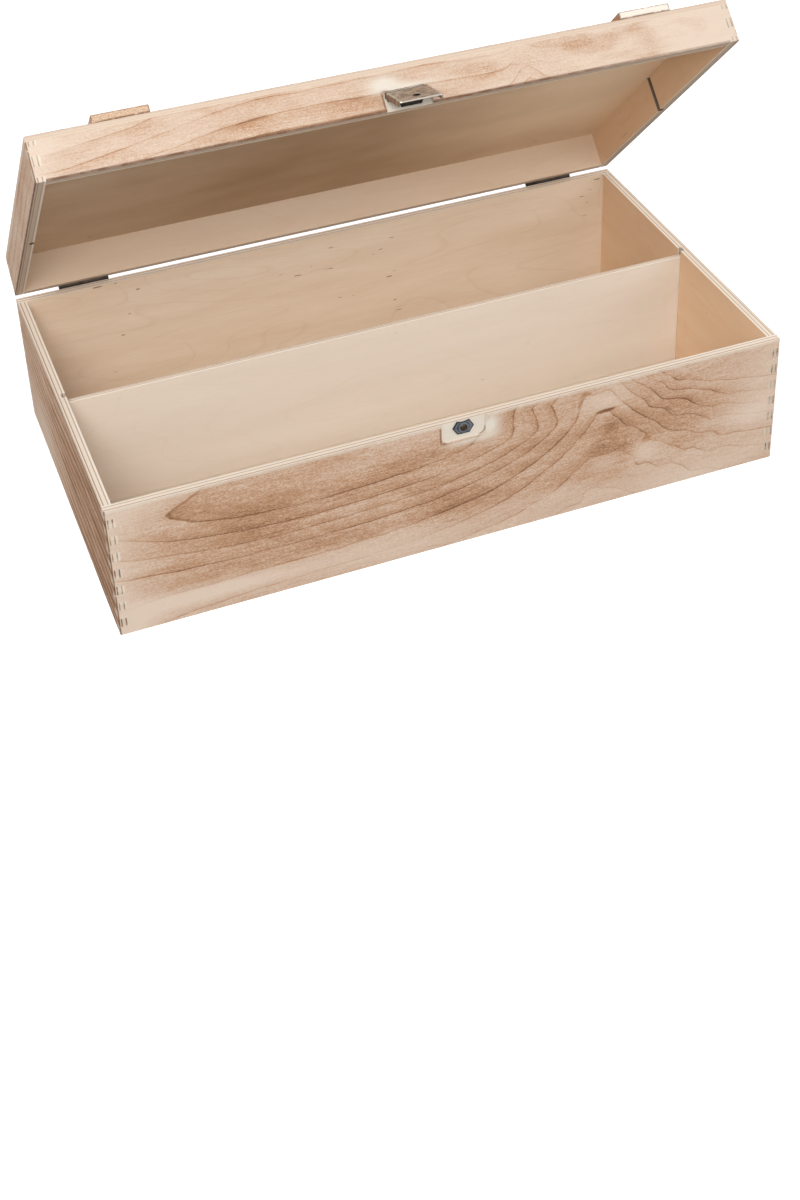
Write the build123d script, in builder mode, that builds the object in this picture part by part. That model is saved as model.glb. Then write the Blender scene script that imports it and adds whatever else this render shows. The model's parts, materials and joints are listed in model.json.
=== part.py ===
from build123d import *
import os

# Hinged wooden gift box for two bottles, finger-jointed from plywood, with a loose divider.
# X runs along the box, Y to the back, Z up. The origin is the middle of the underside.
# The lid stands open and the latch hangs raised: that is the rest position.

# Box and lid
box_length = 370.0
box_depth = 208.0
base_height = 78.0
lid_frame_height = 20.5
lid_panel_thickness = 3.0
wall = 5.2
corner_rounding = 0.9
lid_edge_rounding = 0.6
lid_rest_angle = 45.0
lid_gap = 0.3

# Finger joints: the box was glued up whole and the lid then sawn off, so the lid carries the pattern on
finger_count = 15
saw_kerf = 2.6

# Bottom panel
bottom_thickness = 3.0
bottom_rabbet = 2.6
bottom_fit = 0.05
bottom_brad_radius = 0.5
bottom_brad_length = 14.0
bottom_brad_inset = 1.2
long_side_brad_count = 3
short_side_brad_count = 2

# Divider and the grooves that it slides in
divider_thickness = 3.0
divider_drop = 4.0
divider_lift_gap = 0.2
divider_top_rounding = 0.4
groove_depth = 2.2
groove_clearance = 0.3

# Battens on the lid
batten_width = 28.5
batten_thickness = 4.0
batten_inset = 46.8
batten_rounding = 0.7
batten_brad_radius = 0.6
batten_brad_length = 7.5
batten_brad_inset = 16.0

# Hinges
hinge_inset = 39.5
hinge_length = 28.6
hinge_leaf_height = 13.0
hinge_sheet = 0.8
hinge_pin_offset = 2.0
hinge_pin_radius = 0.8
hinge_knuckle_radius = 1.75
hinge_knuckle_gap = 0.3
hinge_middle_knuckle = 10.0
hinge_running_clearance = 0.05
hinge_leaf_rounding = 1.5
hinge_brad_radius = 0.6
hinge_brad_head_radius = 1.3
hinge_brad_head_height = 0.35
hinge_brad_head_rounding = 0.15
hinge_brad_length = 5.0
hinge_brad_count = 3
hinge_brad_pitch = 9.0
hinge_brad_edge = 4.0

# Latch recess, cut across the saw line
latch_x = 1.75
recess_width = 24.4
recess_depth = 1.2
lid_recess_reach = 10.4
base_recess_reach = 11.8
recess_corner = 3.5

# Latch flap
flap_width = 22.8
flap_sheet = 0.7
flap_pin_up = 7.4
flap_pin_out = 1.2
flap_pin_radius = 0.5
flap_inner_offset = 1.1
flap_rear_overhang = 0.8
flap_reach = 20.2
flap_corner = 1.5
flap_flange_depth = 2.9
flap_flange_stop = 1.6
flap_bend_rounding = 0.6
flap_ear_radius = 1.0
flap_hole_radius = 1.7
flap_hole_from_edge = 6.7
flap_rest_angle = 56.8
latch_running_clearance = 0.05
latch_side_clearance = 0.2

# Catch plate that hangs from the flap
catch_width = 11.0
catch_sheet = 0.7
catch_pin_down = 9.0
catch_pin_in = -0.1
catch_pin_radius = 0.4
catch_barrel_radius = 0.85
catch_length = 7.2
catch_lip = 1.4
catch_rest_angle = 131.8

# Mounting plate of the latch
mount_sheet = 0.8
mount_bottom = 5.2
mount_top = 9.2
mount_ear_radius = 0.9
mount_brad_spacing = 10.0
mount_brad_up = 6.5
mount_brad_radius = 0.6
mount_brad_head_radius = 1.2
mount_brad_head_height = 0.35
mount_brad_length = 3.6

# Strike plate
strike_width = 11.5
strike_flat = 6.7
strike_height = 7.7
strike_sheet = 0.8
strike_centre_down = 4.4
strike_top_sag = 0.7
strike_ring_radius = 3.1
strike_ring_height = 0.5
strike_ring_bore = 2.0
strike_ring_rounding = 0.3
strike_nail_radius = 0.7
strike_nail_head_radius = 1.6
strike_nail_head_height = 0.7
strike_nail_head_rounding = 0.35
strike_nail_length = 3.8

# Sizes that follow from these
inside_length = box_length - 2 * wall
inside_depth = box_depth - 2 * wall
finger = base_height / finger_count
end_x = box_length / 2 - wall / 2
front_face = -box_depth / 2
back_face = box_depth / 2
recess_floor = front_face + recess_depth
pin_y = back_face + hinge_pin_offset
pin_z = base_height + lid_gap / 2

# The lid's own frame: x and y as on the closed lid, z up from its sawn edge.
hinge_line = Location((0, pin_y, pin_z))
lid_opening = Location((0, 0, 0), (-lid_rest_angle, 0, 0))
lid_frame = Plane(hinge_line * lid_opening * Location((0, -pin_y, lid_gap / 2)))
lid_up = Axis((0, 0, 0), lid_frame.z_dir)

# The flap's frame has its origin on the flap's pin and -z along the flap, and the catch's frame likewise.
flap_pin_place = (latch_x, front_face - flap_pin_out, flap_pin_up)
catch_pin_place = (0, catch_pin_in, -catch_pin_down)
flap_frame = lid_frame.moved(Location(flap_pin_place, (-flap_rest_angle, 0, 0)))
catch_frame = flap_frame.moved(Location(catch_pin_place, (catch_rest_angle, 0, 0)))

os.makedirs("parts", exist_ok=True)


def save(part, label):
    """Names a finished piece and writes its file."""
    part.label = label
    export_step(part, f"parts/{label}.step")


def finger_spans(start, height):
    """Lowest and highest point of each end-wall finger, one finger apart, from start up to height."""
    spans = []
    low = start
    while low < height:
        spans.append((max(low, 0), min(low + finger, height)))
        low += 2 * finger
    return spans


base_spans = finger_spans(finger, base_height)
lid_spans = finger_spans(-saw_kerf, lid_frame_height)


def long_wall_outline(height, spans):
    """Front or back wall: full length, with notches at both ends for the fingers of the end walls."""
    with BuildSketch(mode=Mode.PRIVATE) as outline:
        with Locations((0, height / 2)):
            Rectangle(box_length, height)
        for low, high in spans:
            with Locations((-end_x, (low + high) / 2), (end_x, (low + high) / 2)):
                Rectangle(wall, high - low, mode=Mode.SUBTRACT)
    return outline.sketch


def end_wall_outline(height, spans):
    """End wall: as deep as the inside, with a finger at both ends in each span."""
    with BuildSketch(mode=Mode.PRIVATE) as outline:
        with Locations((0, height / 2)):
            Rectangle(inside_depth, height)
        for low, high in spans:
            with Locations((0, (low + high) / 2)):
                Rectangle(box_depth, high - low)
    return outline.sketch


def recess_outline(side, reach):
    """Half of the latch recess, square at the saw line and rounded away from it; side is 1 up or -1 down."""
    with BuildSketch(mode=Mode.PRIVATE) as outline:
        with Locations((latch_x, side * reach / 2)):
            Rectangle(recess_width, reach)
        fillet(outline.vertices().group_by(Axis.Y)[::side][-1], recess_corner)
    return outline.sketch


def discs(places, radius):
    """Round outlines at the given places, for the shanks, heads and holes of one group of brads."""
    with BuildSketch(mode=Mode.PRIVATE) as outline:
        with Locations(*places):
            Circle(radius)
    return outline.sketch


def hinge_brad_places(side, centres):
    """Places of the brads of one leaf at each centre, x along the box and y up; side is 1 up or -1 down."""
    middle = (hinge_brad_count - 1) / 2
    steps = [(i - middle) * hinge_brad_pitch for i in range(hinge_brad_count)]
    rise = side * (hinge_leaf_height - hinge_brad_edge)
    return [(x + step, rise) for x in centres for step in steps]


def spread(count, length):
    """Count places spread evenly along a length, half a step from its ends."""
    return [(i + 0.5) * length / count - length / 2 for i in range(count)]


# Outlines and places that several pieces share
sides = (-1, 1)
with BuildSketch() as box_footprint:
    RectangleRounded(box_length, box_depth, corner_rounding)
with BuildSketch() as rabbet_footprint:
    Rectangle(inside_length + 2 * bottom_rabbet, inside_depth + 2 * bottom_rabbet)
with BuildSketch() as groove_footprint:
    Rectangle(inside_length + 2 * groove_depth, divider_thickness + 2 * groove_clearance)

brad_line_y = inside_depth / 2 + bottom_brad_inset
brad_line_x = inside_length / 2 + bottom_brad_inset
long_side_steps = spread(long_side_brad_count, inside_length)
short_side_steps = spread(short_side_brad_count, inside_depth)
bottom_brad_places = [(x, side * brad_line_y) for side in sides for x in long_side_steps]
bottom_brad_places += [(side * brad_line_x, y) for side in sides for y in short_side_steps]
batten_brad_y = box_depth / 2 - batten_brad_inset
batten_centres = [side * (box_length / 2 - batten_inset) for side in sides]
batten_brad_places = [(x, end * batten_brad_y) for x in batten_centres for end in sides]
mount_brad_places = [(latch_x + side * mount_brad_spacing / 2, mount_brad_up) for side in sides]
hinge_centres = [side * (box_length / 2 - hinge_inset) for side in sides]

# Planes with x along the box and y up: on the front and the recess floor, and on the back, seen from behind
base_recess = Plane((0, recess_floor, base_height), x_dir=(1, 0, 0), z_dir=(0, -1, 0))
lid_recess = lid_frame.moved(Plane((0, recess_floor, 0), x_dir=(1, 0, 0), z_dir=(0, -1, 0)))
strike_seat = base_recess.moved(Location((latch_x, -strike_centre_down, 0)))
base_back = Plane((0, back_face, pin_z), x_dir=(-1, 0, 0), z_dir=(0, 1, 0))
lid_back = lid_frame.moved(Plane((0, back_face, -lid_gap / 2), x_dir=(-1, 0, 0), z_dir=(0, 1, 0)))

# Base walls, finger-jointed and rabbeted for the bottom panel
with BuildPart() as base_front_wall:
    with BuildSketch(Plane.XZ.offset(inside_depth / 2)):
        add(long_wall_outline(base_height, base_spans))
    extrude(amount=wall)
    with BuildSketch():
        add(box_footprint.sketch)
    extrude(amount=base_height, mode=Mode.INTERSECT)
    with BuildSketch():
        add(rabbet_footprint.sketch)
    extrude(amount=bottom_thickness, mode=Mode.SUBTRACT)
    with BuildSketch(base_recess):
        add(recess_outline(-1, base_recess_reach))
    extrude(amount=recess_depth, mode=Mode.SUBTRACT)
    with BuildSketch(strike_seat):
        Circle(strike_nail_radius)
    extrude(amount=strike_sheet - strike_nail_length, mode=Mode.SUBTRACT)
    with BuildSketch():
        add(discs(bottom_brad_places, bottom_brad_radius))
    extrude(amount=bottom_brad_length, mode=Mode.SUBTRACT)
save(base_front_wall.part, "base_front_wall")

with BuildPart() as base_back_wall:
    with BuildSketch(Plane.XZ.offset(-box_depth / 2)):
        add(long_wall_outline(base_height, base_spans))
    extrude(amount=wall)
    with BuildSketch():
        add(box_footprint.sketch)
    extrude(amount=base_height, mode=Mode.INTERSECT)
    with BuildSketch():
        add(rabbet_footprint.sketch)
    extrude(amount=bottom_thickness, mode=Mode.SUBTRACT)
    with BuildSketch(base_back):
        add(discs(hinge_brad_places(-1, hinge_centres), hinge_brad_radius))
    extrude(amount=hinge_sheet - hinge_brad_length, mode=Mode.SUBTRACT)
    with BuildSketch():
        add(discs(bottom_brad_places, bottom_brad_radius))
    extrude(amount=bottom_brad_length, mode=Mode.SUBTRACT)
save(base_back_wall.part, "base_back_wall")

for side, name in zip(sides, ("left", "right")):
    with BuildPart() as base_end_wall:
        with BuildSketch(Plane.YZ.offset(side * end_x)):
            add(end_wall_outline(base_height, base_spans))
        extrude(amount=wall / 2, both=True)
        with BuildSketch():
            add(box_footprint.sketch)
        extrude(amount=base_height, mode=Mode.INTERSECT)
        with BuildSketch():
            add(rabbet_footprint.sketch)
        extrude(amount=bottom_thickness, mode=Mode.SUBTRACT)
        with BuildSketch():
            add(groove_footprint.sketch)
        extrude(amount=base_height, mode=Mode.SUBTRACT)
        with BuildSketch():
            add(discs(bottom_brad_places, bottom_brad_radius))
        extrude(amount=bottom_brad_length, mode=Mode.SUBTRACT)
    save(base_end_wall.part, f"base_{name}_wall")

# Bottom panel, let into the rabbet flush with the underside, and the brads that hold it
with BuildPart() as base_bottom_panel:
    with BuildSketch():
        add(rabbet_footprint.sketch)
        offset(amount=-bottom_fit, kind=Kind.INTERSECTION)
        add(discs(bottom_brad_places, bottom_brad_radius), mode=Mode.SUBTRACT)
    extrude(amount=bottom_thickness)
save(base_bottom_panel.part, "base_bottom_panel")

with BuildPart() as bottom_brads:
    with BuildSketch():
        add(discs(bottom_brad_places, bottom_brad_radius))
    extrude(amount=bottom_brad_length)
save(bottom_brads.part, "bottom_brads")

# Divider, standing loose in the grooves of the end walls
divider_foot = bottom_thickness + divider_lift_gap
with BuildPart() as divider:
    with BuildSketch(Plane.XY.offset(divider_foot)):
        Rectangle(inside_length + 2 * (groove_depth - groove_clearance), divider_thickness)
    extrude(amount=base_height - divider_drop - divider_foot)
    fillet(divider.edges().filter_by(Axis.X).group_by(Axis.Z)[-1], divider_top_rounding)
save(divider.part, "divider")

# Lid walls
with BuildPart() as lid_front_wall:
    with BuildSketch(lid_frame.moved(Plane.XZ.offset(inside_depth / 2))):
        add(long_wall_outline(lid_frame_height, lid_spans))
    extrude(amount=wall)
    with BuildSketch(lid_frame):
        add(box_footprint.sketch)
    extrude(amount=lid_frame_height, mode=Mode.INTERSECT)
    with BuildSketch(lid_recess):
        add(recess_outline(1, lid_recess_reach))
    extrude(amount=recess_depth, mode=Mode.SUBTRACT)
    with BuildSketch(lid_recess):
        add(discs(mount_brad_places, mount_brad_radius))
    extrude(amount=mount_sheet - mount_brad_length, mode=Mode.SUBTRACT)
save(lid_front_wall.part, "lid_front_wall")

with BuildPart() as lid_back_wall:
    with BuildSketch(lid_frame.moved(Plane.XZ.offset(-box_depth / 2))):
        add(long_wall_outline(lid_frame_height, lid_spans))
    extrude(amount=wall)
    with BuildSketch(lid_frame):
        add(box_footprint.sketch)
    extrude(amount=lid_frame_height, mode=Mode.INTERSECT)
    with BuildSketch(lid_back):
        add(discs(hinge_brad_places(1, hinge_centres), hinge_brad_radius))
    extrude(amount=hinge_sheet - hinge_brad_length, mode=Mode.SUBTRACT)
save(lid_back_wall.part, "lid_back_wall")

for side, name in zip(sides, ("left", "right")):
    with BuildPart() as lid_end_wall:
        with BuildSketch(lid_frame.moved(Plane.YZ.offset(side * end_x))):
            add(end_wall_outline(lid_frame_height, lid_spans))
        extrude(amount=wall / 2, both=True)
        with BuildSketch(lid_frame):
            add(box_footprint.sketch)
        extrude(amount=lid_frame_height, mode=Mode.INTERSECT)
        with BuildSketch(lid_frame):
            add(groove_footprint.sketch)
        extrude(amount=lid_frame_height, mode=Mode.SUBTRACT)
    save(lid_end_wall.part, f"lid_{name}_wall")

# Lid panel, glued on top of the lid's walls
lid_top = lid_frame.offset(lid_frame_height + lid_panel_thickness)
with BuildPart() as lid_top_panel:
    with BuildSketch(lid_frame.offset(lid_frame_height)):
        add(box_footprint.sketch)
    extrude(amount=lid_panel_thickness)
    fillet(lid_top_panel.edges().group_by(lid_up)[-1], lid_edge_rounding)
    with BuildSketch(lid_top):
        add(discs(batten_brad_places, batten_brad_radius))
    extrude(amount=batten_thickness - batten_brad_length, mode=Mode.SUBTRACT)
save(lid_top_panel.part, "lid_top_panel")

# Battens across the lid, and the brads through them
for x, name in zip(batten_centres, ("left", "right")):
    with BuildPart() as batten:
        with BuildSketch(lid_top):
            with Locations((x, 0)):
                Rectangle(batten_width, box_depth)
        extrude(amount=batten_thickness)
        fillet(batten.edges().group_by(lid_up)[-1], batten_rounding)
        with BuildSketch(lid_top):
            add(discs(batten_brad_places, batten_brad_radius))
        extrude(amount=batten_thickness, mode=Mode.SUBTRACT)
    save(batten.part, f"{name}_batten")

with BuildPart() as batten_brads:
    with BuildSketch(lid_top.offset(batten_thickness)):
        add(discs(batten_brad_places, batten_brad_radius))
    extrude(amount=-batten_brad_length)
save(batten_brads.part, "batten_brads")

# Hinges: each leaf is a plate on the back of its wall with rolled knuckles round the pin.
# The base leaf has the two outer knuckles and the lid leaf the middle one.
# Each plate is cut away where the other leaf's knuckles turn.
outer_knuckle = (hinge_length - hinge_middle_knuckle) / 2 - hinge_knuckle_gap
outer_knuckle_x = (hinge_length - outer_knuckle) / 2
knuckle_room = hinge_knuckle_radius + hinge_knuckle_gap
leaf_kinds = (
    ("base", base_back, -1, (-outer_knuckle_x, outer_knuckle_x), outer_knuckle, (0,), hinge_middle_knuckle),
    ("lid", lid_back, 1, (0,), hinge_middle_knuckle, (-outer_knuckle_x, outer_knuckle_x), outer_knuckle),
)
for hinge_x, name in zip(hinge_centres, ("left", "right")):
    for leaf, back, side, knuckle_places, knuckle_width, room_places, room_width in leaf_kinds:
        plate = back.moved(Location((-hinge_x, 0, 0)))
        with BuildPart() as hinge_leaf:
            with BuildSketch(plate) as leaf_outline:
                with Locations((0, side * hinge_leaf_height / 2)):
                    Rectangle(hinge_length, hinge_leaf_height)
                fillet(leaf_outline.vertices().group_by(Axis.Y)[::side][-1], hinge_leaf_rounding)
                add(discs(hinge_brad_places(side, (0,)), hinge_brad_radius), mode=Mode.SUBTRACT)
                with Locations(*[(x, 0) for x in room_places]):
                    Rectangle(room_width + 2 * hinge_knuckle_gap, 2 * knuckle_room, mode=Mode.SUBTRACT)
            extrude(amount=hinge_sheet)
            for x in knuckle_places:
                with BuildSketch(Plane.YZ.offset(hinge_x + x)):
                    with Locations((pin_y, pin_z)):
                        Circle(hinge_knuckle_radius)
                extrude(amount=knuckle_width / 2, both=True)
            with BuildSketch(Plane.YZ.offset(hinge_x)):
                with Locations((pin_y, pin_z)):
                    Circle(hinge_pin_radius + hinge_running_clearance)
            extrude(amount=hinge_length / 2, both=True, mode=Mode.SUBTRACT)
        save(hinge_leaf.part, f"{name}_hinge_{leaf}_leaf")
    with BuildPart() as hinge_pin:
        with BuildSketch(Plane.YZ.offset(hinge_x)):
            with Locations((pin_y, pin_z)):
                Circle(hinge_pin_radius)
        extrude(amount=hinge_length / 2, both=True)
    save(hinge_pin.part, f"{name}_hinge_pin")

for back, side, name in ((base_back, -1, "base"), (lid_back, 1, "lid")):
    with BuildPart() as hinge_brads:
        with BuildSketch(back.offset(hinge_sheet)):
            add(discs(hinge_brad_places(side, hinge_centres), hinge_brad_head_radius))
        extrude(amount=hinge_brad_head_height)
        fillet(hinge_brads.edges().group_by(Axis((0, 0, 0), back.z_dir))[-1], hinge_brad_head_rounding)
        with BuildSketch(back.offset(hinge_sheet)):
            add(discs(hinge_brad_places(side, hinge_centres), hinge_brad_radius))
        extrude(amount=-hinge_brad_length)
    save(hinge_brads.part, f"hinge_{name}_brads")

# Strike plate and its nail, in the base half of the recess
half_flat = strike_flat / 2
half_height = strike_height / 2
with BuildPart() as strike_plate:
    with BuildSketch(strike_seat):
        with BuildLine():
            top_middle = (0, half_height - strike_top_sag)
            ThreePointArc((-half_flat, half_height), top_middle, (half_flat, half_height))
            Polyline(
                (half_flat, half_height),
                (strike_width / 2, 0),
                (half_flat, -half_height),
                (-half_flat, -half_height),
                (-strike_width / 2, 0),
                (-half_flat, half_height),
            )
        make_face()
    extrude(amount=strike_sheet)
    with BuildSketch(strike_seat.offset(strike_sheet)):
        Circle(strike_ring_radius)
    extrude(amount=strike_ring_height)
    fillet(strike_plate.faces().sort_by(Axis.Y)[0].edges(), strike_ring_rounding)
    with BuildSketch(strike_seat.offset(strike_sheet)):
        Circle(strike_ring_bore)
    extrude(amount=strike_ring_height, mode=Mode.SUBTRACT)
    with BuildSketch(strike_seat):
        Circle(strike_nail_radius)
    extrude(amount=strike_sheet, mode=Mode.SUBTRACT)
save(strike_plate.part, "strike_plate")

with BuildPart() as strike_nail:
    with BuildSketch(strike_seat.offset(strike_sheet)):
        Circle(strike_nail_head_radius)
    extrude(amount=strike_nail_head_height)
    fillet(strike_nail.faces().sort_by(Axis.Y)[0].edges(), strike_nail_head_rounding)
    with BuildSketch(strike_seat.offset(strike_sheet)):
        Circle(strike_nail_radius)
    extrude(amount=-strike_nail_length)
save(strike_nail.part, "strike_nail")

# Mounting plate of the latch, in the lid half of the recess: its two ears stand out to the flap's pin
ear_inner = flap_width / 2 - flap_sheet - latch_side_clearance
ear_reach = recess_depth + flap_pin_out
with BuildPart() as latch_mounting_plate:
    with BuildSketch(lid_recess):
        with Locations((latch_x, (mount_bottom + mount_top) / 2)):
            Rectangle(2 * ear_inner, mount_top - mount_bottom)
        add(discs(mount_brad_places, mount_brad_radius), mode=Mode.SUBTRACT)
    extrude(amount=mount_sheet)
    for side in sides:
        with BuildSketch(lid_frame.moved(Plane.YZ.offset(latch_x + side * (ear_inner - mount_sheet / 2)))):
            with Locations((recess_floor - ear_reach / 2, flap_pin_up)):
                Rectangle(ear_reach, 2 * mount_ear_radius)
            with Locations((recess_floor - ear_reach, flap_pin_up)):
                Circle(mount_ear_radius)
                Circle(flap_pin_radius, mode=Mode.SUBTRACT)
        extrude(amount=mount_sheet / 2, both=True)
save(latch_mounting_plate.part, "latch_mounting_plate")

with BuildPart() as latch_plate_brads:
    with BuildSketch(lid_recess.offset(mount_sheet)):
        add(discs(mount_brad_places, mount_brad_head_radius))
    extrude(amount=mount_brad_head_height)
    with BuildSketch(lid_recess.offset(mount_sheet)):
        add(discs(mount_brad_places, mount_brad_radius))
    extrude(amount=-mount_brad_length)
save(latch_plate_brads.part, "latch_plate_brads")

# Flap: a pressed plate with two side flanges, ears for its own pin and two lugs for the catch's pin
flap_skin = flap_frame.moved(Plane.XZ.offset(flap_inner_offset))
flap_along = Axis((0, 0, 0), flap_frame.z_dir)
flap_outward = Axis((0, 0, 0), -flap_frame.y_dir)
flange_x = (flap_width - flap_sheet) / 2
lug_x = (catch_width + flap_sheet) / 2 + latch_side_clearance
flap_length = flap_rear_overhang + flap_reach
flange_length = flap_length - flap_flange_stop
pin_seats = (
    (flange_x, 0, 0, flap_ear_radius, flap_pin_radius + latch_running_clearance),
    (lug_x, catch_pin_in, -catch_pin_down, catch_barrel_radius, catch_pin_radius),
)
with BuildPart() as latch_flap:
    with BuildSketch(flap_skin) as flap_outline:
        with Locations((0, flap_rear_overhang - flap_length / 2)):
            Rectangle(flap_width, flap_length)
        fillet(flap_outline.vertices().group_by(Axis.Y)[0], flap_corner)
    extrude(amount=flap_sheet)
    with BuildSketch(flap_skin):
        with Locations(*[(side * flange_x, flap_rear_overhang - flange_length / 2) for side in sides]):
            Rectangle(flap_sheet, flange_length)
    extrude(amount=flap_sheet - flap_flange_depth)
    fillet(latch_flap.edges().filter_by(flap_along).group_by(flap_outward)[-1], flap_bend_rounding)
    with BuildSketch(flap_skin):
        with Locations((0, flap_hole_from_edge - flap_reach)):
            Circle(flap_hole_radius)
    extrude(amount=flap_sheet, mode=Mode.SUBTRACT)
    for seat_x, seat_in, seat_up, seat_radius, hole_radius in pin_seats:
        for side in sides:
            seat_plane = flap_frame.moved(Plane.YZ.offset(side * seat_x))
            with BuildSketch(seat_plane):
                with Locations(((seat_in - flap_inner_offset) / 2, seat_up)):
                    Rectangle(seat_in + flap_inner_offset, 2 * seat_radius)
                with Locations((seat_in, seat_up)):
                    Circle(seat_radius)
            extrude(amount=flap_sheet / 2, both=True)
            with BuildSketch(seat_plane):
                with Locations((seat_in, seat_up)):
                    Circle(hole_radius)
            extrude(amount=flap_sheet / 2, both=True, mode=Mode.SUBTRACT)
save(latch_flap.part, "latch_flap")

with BuildPart() as latch_flap_pin:
    with BuildSketch(flap_frame.moved(Plane.YZ)):
        Circle(flap_pin_radius)
    extrude(amount=flap_width / 2, both=True)
save(latch_flap_pin.part, "latch_flap_pin")

# Catch: a small plate that hangs on its own pin under the flap.
# Its lip pulls under the strike's ring when the flap is pressed shut.
with BuildPart() as latch_catch:
    with BuildSketch(catch_frame.moved(Plane.YZ)):
        with Locations((0, -catch_length / 2)):
            Rectangle(catch_sheet, catch_length)
        with Locations((catch_lip / 2, catch_sheet / 2 - catch_length)):
            Rectangle(catch_lip, catch_sheet)
        Circle(catch_barrel_radius)
        Circle(catch_pin_radius + latch_running_clearance, mode=Mode.SUBTRACT)
    extrude(amount=catch_width / 2, both=True)
save(latch_catch.part, "latch_catch")

with BuildPart() as latch_catch_pin:
    with BuildSketch(catch_frame.moved(Plane.YZ)):
        Circle(catch_pin_radius)
    extrude(amount=lug_x + flap_sheet / 2, both=True)
save(latch_catch_pin.part, "latch_catch_pin")
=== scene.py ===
import json
import math

import bpy
from mathutils import Matrix, Vector

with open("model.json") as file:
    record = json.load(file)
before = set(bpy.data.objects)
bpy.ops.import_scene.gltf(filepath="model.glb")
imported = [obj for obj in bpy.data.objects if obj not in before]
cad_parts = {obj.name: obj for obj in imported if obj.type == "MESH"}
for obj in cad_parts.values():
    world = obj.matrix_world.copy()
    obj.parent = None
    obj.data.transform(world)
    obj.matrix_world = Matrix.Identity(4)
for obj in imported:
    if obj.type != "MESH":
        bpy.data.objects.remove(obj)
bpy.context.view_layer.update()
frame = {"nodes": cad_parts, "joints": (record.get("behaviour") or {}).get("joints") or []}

# Front wall of the base: three-ply board with fingers sawn in its ends, glued between the end walls. A flame
# run over its outside browned the soft wood between the growth lines. The latch's strike sits in a routed
# recess at its rim, which stays bare wood. Lengths are in mm, on the box with its lid closed.
box_length = 370.0
box_depth = 208.0
base_height = 78.0
wall = 5.2
lid_gap = 0.3
half_length = box_length / 2
half_depth = box_depth / 2
split_height = base_height + lid_gap / 2
lid_rim = base_height + lid_gap
hinge = next(joint for joint in frame["joints"] if joint["name"] == "lid_hinge")
hinge_line = Vector(hinge["pos_m"])
lid_opening = math.radians(45)
mm_per_metre = 1000


class Field:
    """A value that changes over a surface. Sums and products of fields make the maths nodes for it."""

    def __init__(self, tree, socket):
        self.tree = tree
        self.socket = socket

    def __add__(self, other):
        return number("ADD", self, other)

    def __radd__(self, other):
        return number("ADD", other, self)

    def __sub__(self, other):
        return number("SUBTRACT", self, other)

    def __rsub__(self, other):
        return number("SUBTRACT", other, self)

    def __mul__(self, other):
        return number("MULTIPLY", self, other)

    def __rmul__(self, other):
        return number("MULTIPLY", other, self)

    def __truediv__(self, other):
        return number("DIVIDE", self, other)

    def __rtruediv__(self, other):
        return number("DIVIDE", other, self)


def tree_of(values):
    """The node tree that the fields among these values belong to."""
    return next(value.tree for value in values if isinstance(value, Field))


def feed(socket, value):
    """Links a field to an input socket, or sets a number, a vector or a colour on it."""
    if isinstance(value, Field):
        value.tree.links.new(value.socket, socket)
    else:
        socket.default_value = value


def add_node(tree, kind, inputs, **settings):
    """One node with its settings and inputs, and the field that its first output gives."""
    made = tree.nodes.new(kind)
    for name, value in settings.items():
        setattr(made, name, value)
    for key, value in inputs.items():
        feed(made.inputs[key], value)
    return Field(tree, made.outputs[0])


def number(operation, *values, clamp=False):
    """One step of arithmetic on numbers and fields."""
    inputs = dict(enumerate(values))
    return add_node(tree_of(values), "ShaderNodeMath", inputs, operation=operation, use_clamp=clamp)


def absolute(value):
    """The value without its sign."""
    return number("ABSOLUTE", value)


def clamped(value):
    """The value, kept from 0 to 1."""
    return number("ADD", value, 0.0, clamp=True)


def root(value):
    """The square root. Of v * v plus a small number it is about v without its sign, with a rounded tip."""
    return number("SQRT", value)


def exponential(value):
    """The number e to the power of the value."""
    return number("EXPONENT", value)


def rising(value, low, high):
    """Rises smoothly from 0 to 1 as the value goes from low to high."""
    inputs = {"Value": value, "From Min": low, "From Max": high}
    return add_node(value.tree, "ShaderNodeMapRange", inputs, interpolation_type="SMOOTHSTEP")


def falling(value, low, high):
    """Falls smoothly from 1 to 0 as the value goes from low to high."""
    return 1.0 - rising(value, low, high)


def vector(x, y, z):
    """A place from its three parts."""
    return add_node(tree_of([x, y, z]), "ShaderNodeCombineXYZ", {"X": x, "Y": y, "Z": z})


def parts(place):
    """The three parts of a place."""
    made = place.tree.nodes.new("ShaderNodeSeparateXYZ")
    feed(made.inputs[0], place)
    return [Field(place.tree, socket) for socket in made.outputs]


shift_ways = (1.0, 0.37, 0.71)


def noise(place, stretch, detail=2.0, roughness=0.5, shift=0.0):
    """Cloudy noise from 0 to 1.

    Stretch is the size in mm of its clouds along, across and into the wood. Shift moves the pattern by a
    number of clouds in each of these ways.
    """
    mapping = {
        "Vector": place,
        "Location": tuple(shift * way for way in shift_ways),
        "Scale": tuple(1 / size for size in stretch),
    }
    clouds = add_node(place.tree, "ShaderNodeMapping", mapping)
    inputs = {"Vector": clouds, "Scale": 1.0, "Detail": detail, "Roughness": roughness}
    return add_node(place.tree, "ShaderNodeTexNoise", inputs)


def swing(place, stretch, amount, **settings):
    """Noise that swings about 0, by up to half the amount each way."""
    return (noise(place, stretch, **settings) - 0.5) * amount


def moved(place, x, y, z):
    """The place moved, so that pieces with the same pattern show different parts of it."""
    return add_node(place.tree, "ShaderNodeVectorMath", {0: place, 1: vector(x, y, z)}, operation="ADD")


def spot(along, up, centre, reach):
    """1 at the centre, and e times less where the squares of the distances over the reach add up to 1."""
    off_along = (along - centre[0]) / reach[0]
    off_up = (up - centre[1]) / reach[1]
    return exponential((off_along * off_along + off_up * off_up) * -1.0)


def patches(along, up, spots):
    """The sum of spots, each given by its centre, its reach and its strength."""
    return sum(spot(along, up, centre, reach) * strength for centre, reach, strength in spots)


mix_factor, mix_low, mix_high, mix_result = 0, 6, 7, 2


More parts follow.
